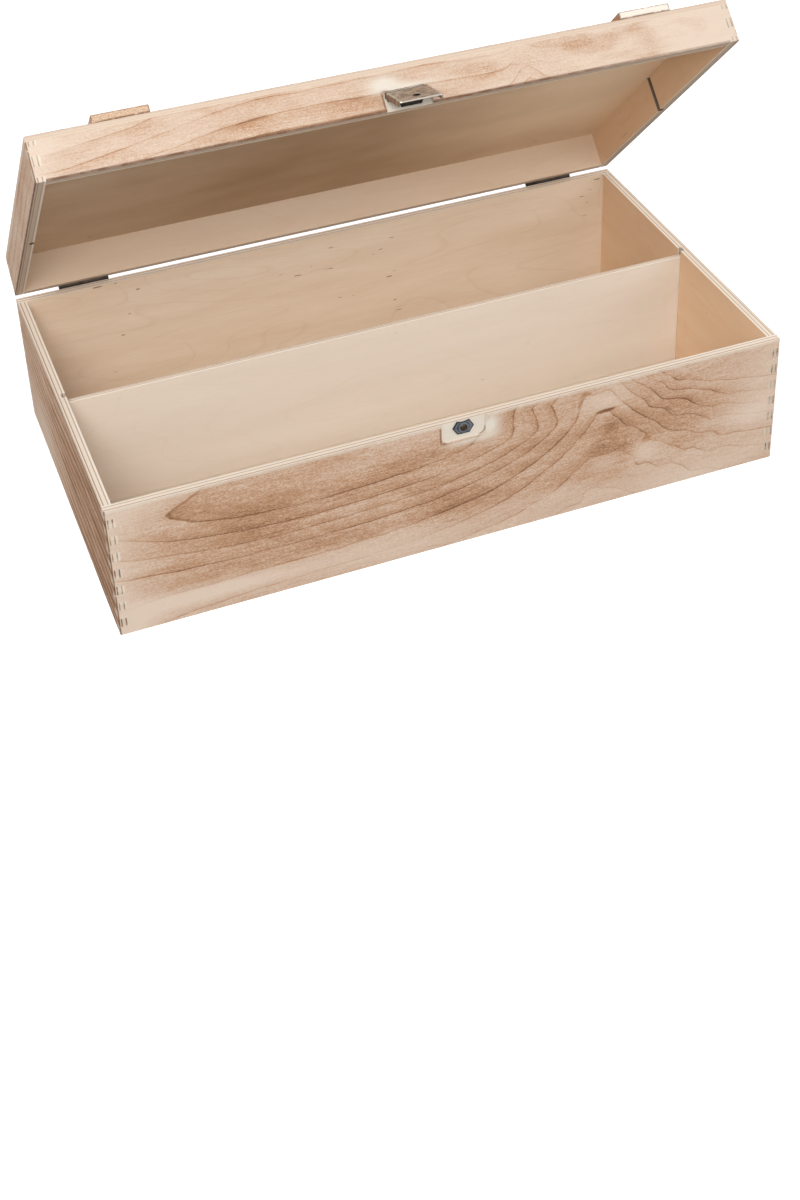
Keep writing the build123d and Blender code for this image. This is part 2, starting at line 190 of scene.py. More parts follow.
def blend(mask, low, high):
    """The low colour where the mask is 0 and the high one where it is 1."""
    tree = tree_of([mask, low, high])
    made = tree.nodes.new("ShaderNodeMix")
    made.data_type = "RGBA"
    feed(made.inputs[mix_factor], mask)
    for index, colour in ((mix_low, low), (mix_high, high)):
        feed(made.inputs[index], colour if isinstance(colour, Field) else (*colour, 1.0))
    return Field(tree, made.outputs[mix_result])


def shades(value, *stops):
    """A run of colours along a value, given as pairs of value and colour."""
    ramp = value.tree.nodes.new("ShaderNodeValToRGB")
    feed(ramp.inputs[0], value)
    elements = ramp.color_ramp.elements
    while len(elements) < len(stops):
        elements.new(1.0)
    for element, (position, colour) in zip(elements, stops):
        element.position = position
        element.color = (*colour, 1.0)
    return Field(value.tree, ramp.outputs[0])


def effect(name, inputs, outputs, make):
    """A shader node group: make gets the inputs as fields and returns the outputs in order."""
    tree = bpy.data.node_groups.new(name, "ShaderNodeTree")
    for label in inputs:
        kind = "NodeSocketVector" if label == "Place" else "NodeSocketFloat"
        tree.interface.new_socket(label, in_out="INPUT", socket_type=kind)
    for label in outputs:
        kind = "NodeSocketColor" if label == "Color" else "NodeSocketFloat"
        tree.interface.new_socket(label, in_out="OUTPUT", socket_type=kind)
    start = tree.nodes.new("NodeGroupInput")
    end = tree.nodes.new("NodeGroupOutput")
    fields = [Field(tree, start.outputs[label]) for label in inputs]
    for label, value in zip(outputs, make(*fields)):
        feed(end.inputs[label], value)
    return tree


def use(group, values):
    """Puts a node group in the material, fed with values in order, and gives its outputs as fields."""
    tree = tree_of(values)
    made = tree.nodes.new("ShaderNodeGroup")
    made.node_tree = group
    for socket, value in zip(made.inputs, values):
        feed(socket, value)
    return [Field(tree, socket) for socket in made.outputs]


flame_clean = (0.71, 0.58, 0.475)
flame_tan = (0.475, 0.272, 0.158)
flame_brown = (0.215, 0.104, 0.053)
flame_char = (0.040, 0.020, 0.013)
tan_stop = 0.56
line_width = 0.55


def figured_veneer(place, rings, spacing, burn, border):
    """Flamed face: its colour and the height of its relief.

    Rings counts the growth rings, and spacing is their width in mm. The darkness grows as a power of the way
    through a ring, up to a thin dark line just before its end. Burn is how much the flame browned the wood,
    and border how much darker a ring ends than it starts.
    """
    ring = number("FRACT", rings)
    wander = noise(place, (46, 9, 50), detail=3)
    inner_ring = number("FRACT", rings * 3.0 + wander * 1.5)
    strong = rising(noise(place, (40, 10, 40), shift=5.0), 0.36, 0.60)
    width = line_width / spacing
    line = rising(ring, 1.0 - width * 1.5, 1.0 - width * 0.55) * falling(ring, 1.0 - width * 0.3, 1.0)
    slope = number("POWER", ring, 2.4) * (0.3 + strong * 0.7) * border
    slope = slope + number("POWER", inner_ring, 2.0) * 0.06
    streaks = swing(place, (11.0, 0.75, 9.0), 1.7, detail=3, roughness=0.7)
    grain = streaks + swing(place, (1.1, 0.6, 1.1), 2.0, detail=1, roughness=0.7, shift=9.0)
    cloud = swing(place, (62, 17, 60), 0.65, detail=3, shift=2.0)
    dark = (0.40 + cloud + (wander - 0.5) * 0.4 + slope) * burn + grain * (0.10 + burn * 0.34)
    dark = clamped(dark + line * (0.10 + strong * 0.12 + border * 0.15) * (0.3 + burn))
    colour = shades(dark, (0.0, flame_clean), (tan_stop, flame_tan), (1.0, flame_brown))
    return colour, grain * 0.4 - line * 0.4


edge_pale = (0.86, 0.785, 0.69)
edge_core = (0.72, 0.60, 0.46)
edge_glue = (0.40, 0.21, 0.115)
outer_glue = 1.4
inner_glue = 3.8


def sawn_edge(depth, speckle):
    """Sawn edge of three-ply at a depth in mm from the face: pale veneers, glue lines, end-grain core."""
    deep = depth + (speckle - 0.5) * 0.07
    outer_line = falling(absolute(deep - outer_glue), 0.12, 0.50)
    inner_line = falling(absolute(deep - inner_glue), 0.10, 0.44)
    core = rising(deep, outer_glue, outer_glue + 0.3) * falling(deep, inner_glue - 0.2, inner_glue + 0.1)
    colour = blend(core * (0.05 + speckle * 0.6), edge_pale, edge_core)
    colour = blend(outer_line * 0.82, colour, edge_glue)
    colour = blend(inner_line * 0.72, colour, edge_glue)
    return colour, core * speckle * 0.5 - outer_line * 0.5


inner_pale = (0.80, 0.675, 0.545)
inner_warm = (0.64, 0.455, 0.300)
inner_fleck = (0.20, 0.105, 0.055)


def smooth_inside(place, shift):
    """Sanded pale inner face: faint grain bands, a few growth lines and small dark flecks."""
    there = moved(place, shift, shift * 1.7, shift * 0.3)
    bands = swing(there, (90, 13, 80), 0.9, detail=3)
    fine = swing(there, (14, 0.9, 14), 0.5, detail=3, roughness=0.6)
    ring = number("FRACT", noise(there, (150, 42, 90), detail=1) * 9.0)
    line = rising(ring, 0.86, 0.98) * falling(ring, 0.985, 1.0)
    sparse = rising(noise(there, (60, 45, 60), detail=0, shift=7.0), 0.56, 0.66)
    fleck = rising(noise(there, (6.5, 1.7, 6.5), detail=0, shift=3.0), 0.80, 0.86) * sparse
    colour = blend(clamped(bands + fine + 0.32 + line * 0.16), inner_pale, inner_warm)
    colour = blend(fleck * 0.8, colour, inner_fleck)
    return colour, fine - fleck * 0.4


colour_and_height = ("Color", "Height")
face_inputs = ("Place", "Rings", "Spacing", "Burn", "Border")
flamed_face = effect("flamed_face", face_inputs, colour_and_height, figured_veneer)
ply_edge = effect("ply_edge", ("Depth", "Speckle"), colour_and_height, sawn_edge)
pale_face = effect("pale_face", ("Place", "Shift"), colour_and_height, smooth_inside)

viewport_colour = (0.7, 0.55, 0.4, 1.0)


def new_material(name):
    """An empty material and its node tree."""
    material = bpy.data.materials.new(name)
    material.use_nodes = True
    material.node_tree.nodes.clear()
    return material, material.node_tree


def finish_material(material, colour, roughness, height, relief, **fixed):
    """Colour, roughness and relief in metres to the surface shader; fixed sockets keep one value all over."""
    tree = material.node_tree
    shader = tree.nodes.new("ShaderNodeBsdfPrincipled")
    feed(shader.inputs["Base Color"], colour)
    feed(shader.inputs["Roughness"], roughness)
    bump = {"Height": height, "Distance": relief, "Strength": 1.0}
    feed(shader.inputs["Normal"], add_node(tree, "ShaderNodeBump", bump))
    for name, value in fixed.items():
        shader.inputs[name.replace("_", " ")].default_value = value
    end = tree.nodes.new("ShaderNodeOutputMaterial")
    tree.links.new(shader.outputs[0], end.inputs[0])
    material.diffuse_color = viewport_colour


def box_place(tree, on_lid):
    """Where a point is on the closed box, in mm. The lid's wood is turned back about the hinge line."""
    coordinates = Field(tree, tree.nodes.new("ShaderNodeTexCoord").outputs["Object"])
    inputs = {"Vector": coordinates, "Scale": (mm_per_metre, mm_per_metre, mm_per_metre)}
    if on_lid:
        closing = Matrix.Rotation(lid_opening, 3, "X")
        inputs["Rotation"] = (lid_opening, 0, 0)
        inputs["Location"] = (hinge_line - closing @ hinge_line) * mm_per_metre
    return add_node(tree, "ShaderNodeMapping", inputs)


def finish_node(name, material):
    """Gives a CAD node its material."""
    mesh = frame["nodes"][name].data
    mesh.materials.clear()
    mesh.materials.append(material)


end_brown = (0.42, 0.265, 0.155)
end_tan = (0.50, 0.40, 0.31)


def finger_ends(place, depth, from_end, at_right, speckle, on_lid, edge_colour):
    """Ends of the corner fingers, whose cut plies took the flame unevenly, and more on the base."""
    at_end = falling(from_end, 0.05, 0.35)
    off_glue = number("MINIMUM", absolute(depth - outer_glue - 0.05), absolute(depth - inner_glue + 0.05))
    plies = falling(off_glue, 0.15, 0.50)
    patchy = rising(noise(place, (9, 4.5, 9), detail=1, shift=4.4), 0.40, 0.60)
    brown_share = rising(noise(place, (14, 9, 14), detail=0, shift=2.2), 0.44, 0.60)
    tan_share = 0.34 + at_right * (0.10 if on_lid else 0.34)
    edge_colour = blend(at_end * tan_share, edge_colour, end_tan)
    burnt = plies * (0.10 + patchy * 0.70) + speckle * patchy * 0.3
    burnt = clamped(at_end * burnt * (0.30 if on_lid else 1.0))
    return blend(burnt, edge_colour, blend(brown_share, flame_brown, end_brown))


bare_pale = (0.73, 0.665, 0.575)
rim_brown = (0.150, 0.068, 0.036)
rim_shade_tan = (0.42, 0.30, 0.205)


def along_saw_cut(along, z, depth, ragged, on_lid, colour, edge_colour):
    """The two rims that the saw parted: on the lid the face is charred along the cut and the rim is painted
    tan as painted shade; on the base the face is sanded nearly bare.
    """
    from_split = absolute(z - split_height)
    if not on_lid:
        return blend(falling(from_split, 0.6, 2.0) * 0.55, colour, bare_pale), edge_colour
    char = falling(from_split, 0.85, 1.65) * (0.74 + rising(ragged, 0.40, 0.60) * 0.2)
    colour = blend(char * (1.0 - rising(along, 60.0, 170.0) * 0.5), colour, rim_brown)
    # The lid's rim, which faces down, is painted tan as painted shade, less towards its inside.
    rim_shade = falling(z, lid_rim + 0.05, lid_rim + 0.3) * (1.0 - rising(depth, 3.2, 4.6) * 0.6)
    return colour, blend(rim_shade * 0.62, edge_colour, rim_shade_tan)


latch_x = 1.75
recess_width = 24.4
recess_depth = 1.2
recess_corner = 3.5
base_recess_reach = 11.8
lid_recess_reach = 10.4
base_halo = (((14.5, 71.0), (5.5, 7.0), 0.95), ((2.0, 64.6), (12.0, 1.8), 0.6))
lid_halo = (((-10, 92.5), (9, 4.5), 0.95), ((3, 89.6), (14, 1.8), 0.7))


def around_latch(x, z, depth, on_face, on_lid, colour, edge_colour):
    """Front wall near the latch: bare wood in the recess, a halo that the flame missed, scorched outline, and
    on the base a painted shade line round the recess's lower right corner.
    """
    half_width = recess_width / 2
    reach = lid_recess_reach if on_lid else base_recess_reach
    side = x - latch_x
    drop = absolute(z - split_height)
    halo = patches(side, z, lid_halo if on_lid else base_halo)
    colour = blend(clamped(halo * 1.2), colour, bare_pale)
    outline = falling(absolute(side + half_width + 0.45), 0.2, 0.85)
    outline = outline * rising(drop, 0.2 if on_lid else 1.2, 3.0) * falling(drop, reach - 1.5, reach + 0.1)
    foot = spot(side, drop, (1.3 - half_width, reach), (1.8, 0.8))
    colour = blend(clamped(outline + foot) * 0.75, colour, flame_brown)
    in_width = falling(absolute(side), half_width + 0.1, half_width + 0.3)
    in_reach = falling(drop, reach + 0.1, reach + 0.3)
    in_depth = falling(depth, recess_depth + 0.04, recess_depth + 0.12)
    in_recess = in_width * in_reach * in_depth * (1.0 - on_face)
    edge_colour = blend(in_recess, edge_colour, bare_pale)
    # On the base, a dark line is painted round the recess's rounded lower right corner as painted shade.
    if not on_lid:
        corner_side = side - (half_width - recess_corner)
        corner_drop = drop - (reach - recess_corner)
        off_arc = root(corner_side * corner_side + corner_drop * corner_drop) - recess_corner + 0.2
        corner_shade_line = falling(absolute(off_arc), 0.15, 0.5) * rising(corner_drop + corner_side, 1.0, 4.0)
        corner_shade_line = corner_shade_line * rising(corner_side, -1.0, 1.0) * in_recess
        edge_colour = blend(corner_shade_line * 0.7, edge_colour, flame_brown)
    return colour, edge_colour


scorch_orange = (0.27, 0.125, 0.055)


def charred_corners(depth, from_end, at_left, ragged, on_lid, colour):
    """The flame chars the corner edges: black and broken at the base's left, thin and orange elsewhere."""
    corner = number("MAXIMUM", depth, from_end)
    tone = blend(at_left * (0.30 if on_lid else 0.50), scorch_orange, flame_char)
    reach_in = 0.85 if on_lid else 0.8 + at_left * 0.15
    broken = rising(ragged, 0.40 - at_left * 0.12, 0.56 - at_left * 0.12)
    return blend(clamped(falling(corner, 0.3, reach_in) * broken * 0.9), colour, tone)


wood_gloss = 0.2
wood_roughness = 0.62
wood_relief = 0.00012
pattern_step = 40.0
groove_half_width = 1.8
groove_floor = wall - 2.2


def wall_material(name, side, on_lid, figure, shift, inner_lighting_tint=None):
    """One wall of the base or the lid.

    Side is the direction that the wall faces. Figure gives the rings, their spacing, the burn and the border
    from a place on it. Shift sets its patterns apart from the other walls'. An inner lighting tint is a share
    and a colour, painted on the inside as warm bounce light on the right walls and as shade on the lid's back
    wall.
    """
    material, tree = new_material(name)
    x, y, z = parts(box_place(tree, on_lid))
    is_long = side in ("front", "back")
    along, across = (x, y) if is_long else (y, x)
    half_along, half_across = (half_length, half_depth) if is_long else (half_depth, half_length)
    depth = half_across - across * (-1.0 if side in ("front", "left") else 1.0)
    from_end = half_along - absolute(along)
    at_right = rising(x, -1.0, 1.0)
    on_face = falling(depth, 0.3, 0.75)
    on_inside = rising(depth, wall - 0.08, wall - 0.01)
    place = vector(along, z, depth + shift * pattern_step)
    speckle = noise(place, (0.8, 0.8, 0.5), detail=2, roughness=0.7)
    ragged = noise(place, (6, 4, 6), detail=3, roughness=0.7, shift=1.3)

    colour, height = use(flamed_face, [place, *figure(along, z, place)])
    inner_colour, inner_height = use(pale_face, [place, shift])
    edge_colour, edge_height = use(ply_edge, [depth, speckle])
    edge_colour = finger_ends(place, depth, from_end, at_right, speckle, on_lid, edge_colour)
    colour, edge_colour = along_saw_cut(along, z, depth, ragged, on_lid, colour, edge_colour)
    if side == "front":
        colour, edge_colour = around_latch(x, z, depth, on_face, on_lid, colour, edge_colour)
    if not is_long:
        # The divider's slot is painted near black inside as painted shade, strongly on the lid and weakly on
        # the base, where the divider fills it.
        groove_shade = falling(absolute(y), groove_half_width - 0.05, groove_half_width + 0.15)
        groove_shade = groove_shade * rising(depth, groove_floor - 0.4, groove_floor - 0.1) * (0.95 if on_lid else 0.4)
        inner_colour = blend(groove_shade, inner_colour, flame_char)
        edge_colour = blend(groove_shade, edge_colour, flame_char)
    if inner_lighting_tint:
        share, tint = inner_lighting_tint
        inner_colour = blend(share, inner_colour, tint)

    colour = blend(on_inside, blend(on_face, edge_colour, colour), inner_colour)
    colour = charred_corners(depth, from_end, 1.0 - at_right, ragged, on_lid, colour)
    height = height * on_face + edge_height * (1.0 - on_face) * (1.0 - on_inside) + inner_height * on_inside
    roughness = wood_roughness + (speckle - 0.5) * 0.16
    finish_material(material, colour, roughness, height, wood_relief, Specular_IOR_Level=wood_gloss)
    return material


knot_x = 82.0
knot_z = 60.9
knot_lift = 55.0
knot_slit_reach = (4.4, 0.95)
knot_slit_slope = 2.0
low_line_lift = 44.0
lift_centre = knot_x - 1.0
lift_fall = 37.0
bulge_from = 60.0
bulge = 5.2
bend_from = -70.0
bend_height = 22.0
bend = 0.0000357
arch_x = -158.0
arch_z = 66.3
arch_slope = 1.65
arch_level = 59.0
arch_shoulder = 8.0
arch_length = 40.0
front_ring_width = 9.2
first_level = -13.0
crowd_level = 27.0
crowd_reach = 14.0
crowd_rings = 0.45
front_burn = 0.92
front_paling = 0.80
front_border = 0.26

# Where the flame left the front paler or browned it more: centre and reach along and up, and strength
front_pale = (
    ((-190, 40), (22, 90), 0.95),
    ((-175, 4), (45, 12), 0.6),
    ((-168, 78), (22, 12), 0.5),
    ((-140, 13), (42, 5.5), 1.0),
    ((-70, 9), (60, 9), 0.75),
    ((0, -2), (70, 14), 0.45),
    ((70, 8), (50, 12), 0.35),
    ((82, 26), (9, 5), 0.45),
    ((knot_x, knot_z + 6), (16, 10), 0.75),
    ((107, 27), (10, 9), 0.7),
    ((140, 3), (52, 12), 0.85),
    ((150, 66), (30, 8), 0.2),
    ((166, 33), (20, 9), 0.55),
    ((185, 50), (30, 40), 0.8),
)
front_browned = (
    ((-92, 44), (30, 12), 0.24),
    ((-85, 24), (34, 6), 0.25),
    ((-40, 58), (30, 9), 0.22),
    ((-18, 26), (26, 7), 0.24),
    ((-16, 62), (24, 9), 0.12),
    ((12, 33), (30, 9), 0.24),
    ((79, 37), (7, 5), 0.34),
    ((86, 49), (4.5, 8), 0.36),
    ((94, 35), (6, 9), 0.32),
    ((124, 45), (17, 8), 0.20),
)


def front_figure(along, up, place):
    """Growth lines that hang low in the middle and are lifted to a knot at the right from both sides.

    The level of a line is its height far from the knot. Near it, lines are lifted by up to 55 mm, and e times
    less with each 37 mm of distance. The lowest lines are lifted less, and left of the knot the highest
    bulge. Far left, lines bend away from a height of 22 mm as the square of the distance, and a pointed arch
    bounds the highest. At last the lines are crowded a little about one level.
    """
    off_knot = along - lift_centre
    lift = exponential((5.0 - root(off_knot * off_knot + 12.0)) / lift_fall)
    over = up - bulge_from
    above = (over + root(over * over + 6.0)) * 0.5 * falling(along, 70.0, 90.0)
    low_level = (up - lift * low_line_lift) / (1.0 + lift * 1.6)
    high_level = up - lift * knot_lift - above * lift * (1.0 - lift) * bulge
    beyond = number("MAXIMUM", bend_from - along, 0.0)
    level = number("MAXIMUM", low_level, high_level) - beyond * beyond * (up - bend_height) * bend

    rise = up - arch_z
    past_tip = along - arch_x - root(rise * rise + 1.0) * arch_slope
    in_arch = number("MAXIMUM", past_tip, 0.0)
    limit = arch_level - exponential(in_arch / -arch_length) * arch_shoulder + (past_tip - in_arch) * 0.09
    level = number("MINIMUM", level, limit)

    beneath_knot = rising(along, 58.0, 76.0) * falling(up, 34.0, 46.0)
    wavy = clamped(rising(along, 90.0, 108.0) + beneath_knot) * falling(along, 150.0, 182.0)
    level = level + swing(place, (120, 50, 80), 3.0, detail=1, shift=4.0)
    level = level + swing(place, (26, 9, 30), 2.2, detail=2, roughness=0.6, shift=8.0)
    level = level + swing(place, (14, 11, 30), 8.5, detail=0, shift=17.0) * wavy
    off_crowd = (level - crowd_level) / crowd_reach
    rings = exponential(off_crowd * off_crowd * -1.0) * crowd_rings - (level - first_level) / front_ring_width
    steep = rising(high_level - low_level, -1.0, 1.0)
    spacing = front_ring_width * (steep / (1.0 + lift * 0.8) + (1.0 - steep) * (1.0 + lift))

    burn = clamped(front_burn - patches(along, up, front_pale) * front_paling)
    burn = burn + patches(along, up, front_browned)
    arch_burn = rising(past_tip, -1.0, 5.0) * falling(along, -110.0, -70.0) * 0.12
    knot_slit = spot(along - (up - knot_z) * knot_slit_slope, up, (knot_x, knot_z), knot_slit_reach) * 2.4
    return rings, spacing, burn + arch_burn + knot_slit, front_border


finish_node("base_front_wall", wall_material("base_front_wall", "front", False, front_figure, 0.0))

# Left wall of the base: the same flamed three-ply, its fingers glued into those of the front and back walls.
# It was cut where the sheet has strong dark growth lines. A sawn groove inside holds the divider's end.
left_ring_width = 7.4
left_line_spacing = 5.0
left_bend_from = -10.0
left_bend = 0.0009
left_burn = 1.20
left_border = 1.05
left_patches = (((70, 8), (60, 24), -0.55), ((-80, 60), (40, 10), 0.25))


def left_figure(along, up, place):
    """Strong dark lines near the front corner, which curve up as the square of the distance and fade behind.

    The spacing that it gives is smaller than the rings' real width, which makes the lines bolder.
    """
    beyond = number("MAXIMUM", along - left_bend_from, 0.0)
    rings = (up - beyond * beyond * left_bend) / -left_ring_width
    rings = rings + swing(place, (90, 40, 60), 1.4, detail=1, shift=3.0)
    rings = rings + swing(place, (34, 8, 30), 0.7, detail=2, shift=6.0)
    at_back = rising(along, -50.0, 70.0)
    burn = left_burn - at_back * 0.42 + patches(along, up, left_patches)
    return rings, left_line_spacing, burn, left_border - at_back * 0.50


finish_node("base_left_wall", wall_material("base_left_wall", "left", False, left_figure, 4.0))

# Back and right walls of the base: flamed three-ply like the others, with plain, nearly straight grain. The
# back wall carries the hinges, and the right wall has the groove for the divider's other end.
straight_border = 0.30
# The right walls' insides are tinted warmer, as painted warm bounce light.
right_inner_bounce_light = (0.50, (0.78, 0.475, 0.25))


def straight_figure(spacing, ripple_length, drift, burn_level):
    """Nearly straight grain along the wall. Spacing is the rings' width in mm; drift is in rings."""

    def figure(along, up, place):
        rings = up / spacing + swing(place, (170, 60, 100), drift, detail=1, shift=3.0)
        rings = rings + swing(place, (ripple_length, 14, 40), 0.45, detail=2, shift=6.0)
        burn = burn_level + swing(place, (120, 40, 90), 0.6, detail=1, shift=11.0)
        return rings, spacing, burn, straight_border

    return figure


back_figure = straight_figure(7.5, 30, 4.0, 0.75)
right_figure = straight_figure(6.4, 40, 2.6, 0.85)
finish_node("base_back_wall", wall_material("base_back_wall", "back", False, back_figure, 2.0))
base_right = wall_material("base_right_wall", "right", False, right_figure, 6.0, right_inner_bounce_light)
finish_node("base_right_wall", base_right)

# Bottom panel of the base: thin three-ply, sanded and not flamed, let in flush under the walls.
# Its edges show the same pale veneers and glue lines as the walls' edges do.
bottom_thickness = 3.0
board_white = (0.80, 0.76, 0.70)
board_roughness = 0.6
board_relief = 0.0001
board_pattern_step = 30.0


def board_material(name, stands, thickness, from_face, shift, whiteness):
    """A pale board; stands says that its face is upright, from_face gives its depth from one face."""
    material, tree = new_material(name)
    x, y, z = parts(box_place(tree, False))
    up, into = (z, y) if stands else (y, z)
    place = vector(x, up, into + shift * board_pattern_step)
    depth = from_face(into)
    colour, height = use(pale_face, [place, shift])
    speckle = noise(place, (0.9, 0.9, 0.5), detail=2, roughness=0.7)
    edge_colour, edge_height = use(ply_edge, [depth * (wall / thickness), speckle])
    on_edge = rising(depth, 0.02, 0.12) * falling(depth, thickness - 0.12, thickness - 0.02)
    colour = blend(on_edge, blend(whiteness, colour, board_white), edge_colour)
    height = height * (1.0 - on_edge) + edge_height * on_edge
    roughness = board_roughness + (speckle - 0.5) * 0.14
    finish_material(material, colour, roughness, height, board_relief, Specular_IOR_Level=wood_gloss)
    return material


bottom_board = board_material("base_bottom_panel", False, bottom_thickness, lambda z: z, 9.0, 0.25)
finish_node("base_bottom_panel", bottom_board)

# Ten wire brads, driven up through the bottom panel into the walls. They are bright drawn steel, lightly
# smudged and scratched, as are the brads of the battens, the hinges and the latch, and the catch's pin.
steel_relief = 0.00002


def worn_steel(place, shift):
    """Smudged and finely scratched steel: a mask of smudges, and a height for the scratches."""
    there = moved(place, shift, shift * 1.3, shift * 0.7)
    smudge = rising(noise(there, (3.6, 3.6, 3.6), detail=3, roughness=0.6), 0.35, 0.70)
    scratch = noise(there, (4.0, 0.16, 0.16), detail=2, roughness=0.6)
    return smudge, scratch


steel_wear = effect("steel_wear", ("Place", "Shift"), ("Smudge", "Scratch"), worn_steel)


def finish_steel(material, colour, smudge, scratch, smooth, rough):
    """Metal that is smooth where it is clean and rough where it is smudged, and varies with its scratches."""
    roughness = smooth + smudge * (rough - smooth) + (scratch - 0.5) * 0.12
    finish_material(material, colour, roughness, scratch, steel_relief, Metallic=1.0)


def steel_material(name, bright, dull, smooth, rough, shift):
    """Steel whose colour and gloss change with the smudges on it."""
    material, tree = new_material(name)
    smudge, scratch = use(steel_wear, [box_place(tree, False), shift])
    finish_steel(material, blend(smudge, bright, dull), smudge, scratch, smooth, rough)
    return material


wire = steel_material("bright_steel", (0.55, 0.51, 0.45), (0.36, 0.32, 0.27), 0.26, 0.45, 4.0)
finish_node("bottom_brads", wire)

# The divider: a loose pale board of thin three-ply, sanded and whiter than the walls' inside.
# It stands in the grooves of the end walls, parts the box lengthwise and lifts out.
divider_thickness = 3.0
divider_board = board_material(
    "divider", True, divider_thickness, lambda y: y + divider_thickness / 2, 12.0, 0.55
)
finish_node("divider", divider_board)

# The lid's four walls: flamed three-ply, one with the base's walls until the glued box was sawn apart. So the
# fingers and the divider's grooves run on in them. The front one has the upper half of the latch's recess.
lid_ring_width = 9.1
lid_first_line = 72.9
lid_burn = 0.36
lid_paling = 0.55
lid_border = 0.34
ringless_spacing = 200.0
# The inside of the lid's back wall is tinted darker and browner, as painted shade.
lid_back_shade = (0.45, (0.61, 0.445, 0.315))
lid_pale = (
    ((-188, 90), (22, 60), 0.9),
    ((0, 102), (200, 2.5), 0.35),
    ((108, 92), (14, 8), 0.35),
    ((194, 90), (44, 60), 1.6),
)
lid_browned = (
    ((-60, 82), (70, 5), 0.30),
    ((-18, 90), (18, 6), 0.20),
    ((40, 88), (22, 8), 0.12),
    ((86, 95), (16, 7), 0.22),
    ((130, 96), (4, 4), 0.38),
    ((136, 90), (5, 5), 0.38),
    ((137, 83), (10, 4), 0.266),
)


def lid_front_figure(along, up, place):
    """Paler and softer than the base: long lines that rise at the left, a small arch, smudges, pale ends."""
    at_right = rising(along, 10.0, 50.0)
    ringless = rising(along, 74.0, 100.0)
    lifted = rising(along, -185.0, -60.0) * 16.0 + spot(along, up, (66.5, 78), (7.0, 22)) * 12.0
    rings = (up - lid_first_line - lifted) / lid_ring_width + at_right * 0.4
    rings = rings + swing(place, (110, 30, 80), 1.0, detail=1, shift=21.0) * (0.4 + at_right * 1.2)
    rings = rings + swing(place, (30, 7, 30), 0.4, detail=2, shift=23.0)
    smudge = rising(noise(place, (30, 12, 40), detail=2, shift=31.0), 0.40, 0.68)
    slanted_streak = spot(along - (95.0 - up) * 1.6, up, (-3, 95), (7, 2.2)) * 0.35
    burn = lid_burn + smudge * (0.26 + at_right * 0.22) - at_right * 0.10
    burn = clamped(burn - patches(along, up, lid_pale) * lid_paling)
    burn = burn + patches(along, up, lid_browned) + slanted_streak
    return rings, lid_ring_width + ringless * ringless_spacing, burn, lid_border - ringless * 0.28


lid_walls = (
    ("lid_front_wall", "front", lid_front_figure, 8.0, None),
    ("lid_back_wall", "back", straight_figure(7.5, 30, 4.0, 0.65), 10.0, lid_back_shade),
    ("lid_left_wall", "left", straight_figure(7.0, 60, 2.4, 0.72), 12.0, None),
    ("lid_right_wall", "right", straight_figure(6.4, 40, 2.6, 0.7), 14.0, right_inner_bounce_light),
)
for name, side, figure, shift, inner_lighting_tint in lid_walls:
    finish_node(name, wall_material(name, side, True, figure, shift, inner_lighting_tint))

# The lid's top panel: three-ply, thinner than the walls and glued on top of them, flamed on the outside only.
# Its inside is sanded and warm, with painted shade that is darkest in the middle and at the back right, and
# painted light towards the right end.
lid_frame_height = 20.5
lid_panel_thickness = 3.0
panel_bottom = lid_rim + lid_frame_height
panel_top = panel_bottom + lid_panel_thickness
panel_shift = 16.0
under_warm_tone_and_light = (0.96, 0.75, 0.53)
under_shade_brown = (0.36, 0.215, 0.11)
panel_edge_pale = (0.70, 0.56, 0.45)
panel_edge_dark = (0.58, 0.43, 0.32)
panel_arris = (0.74, 0.71, 0.66)
under_shade_patches = (((-30, 30), (125, 105), 0.46), ((110, 90), (80, 40), 0.35))


def panel_material(name, figure, shift):
    """The flat panel: flamed on top, sawn edges, and a warm inside with painted shade, darkest in the middle,
    and painted light to the right.
    """
    material, tree = new_material(name)
    x, y, z = parts(box_place(tree, True))
    depth = panel_top - z
    place = vector(x, y, depth + shift * pattern_step)
    colour, height = use(flamed_face, [place, *figure(x, y, place)])
    under_colour, under_height = use(pale_face, [place, shift])
    # Painted shade inside: dark patches in the middle and at the back right, mottled and fading to the right,
    # where painted light makes it warmer and paler.
    painted_shade = 0.36 + patches(x, y, under_shade_patches) - rising(x, 0.0, 130.0) * 0.42
    painted_shade = clamped(painted_shade + swing(place, (70, 34, 70), 0.5, detail=3, shift=14.0))
    under_colour = blend(0.45 + rising(x, 0.0, 120.0) * 0.35, under_colour, under_warm_tone_and_light)
    under_colour = blend(painted_shade, under_colour, under_shade_brown)
    speckle = noise(place, (0.8, 0.8, 0.5), detail=2, roughness=0.75)
    edge_colour, edge_height = use(ply_edge, [depth * (wall / lid_panel_thickness), speckle])
    edge_colour = blend(0.80, edge_colour, blend(speckle, panel_edge_pale, panel_edge_dark))
    edge_colour = blend(falling(depth, 0.4, 0.9) * 0.6, edge_colour, panel_arris)
    on_top = falling(depth, 0.25, 0.7)
    beneath = rising(depth, lid_panel_thickness - 0.06, lid_panel_thickness - 0.01)
    colour = blend(beneath, blend(on_top, edge_colour, colour), under_colour)
    height = height * on_top + edge_height * (1.0 - on_top) * (1.0 - beneath) + under_height * beneath
    roughness = wood_roughness + (speckle - 0.5) * 0.14
    finish_material(material, colour, roughness, height, wood_relief, Specular_IOR_Level=wood_gloss)
    return material


top_panel = panel_material("lid_top_panel", straight_figure(15.0, 60, 8.0, 0.75), panel_shift)
finish_node("lid_top_panel", top_panel)

# Two battens: solid strips across the lid, front to back, each held by brads from above. They are flamed like
# the walls and browned most along their arrises; the left one's end grain is dark, the right one's pale.
batten_bottom = panel_top
batten_thickness = 4.0
batten_width = 28.5
batten_inset = 46.8
batten_end_brown = (0.56, 0.33, 0.19)
batten_end_tan = (0.74, 0.53, 0.36)
batten_end_white = (0.90, 0.84, 0.76)
batten_figure = straight_figure(6.5, 50, 2.5, 0.7)


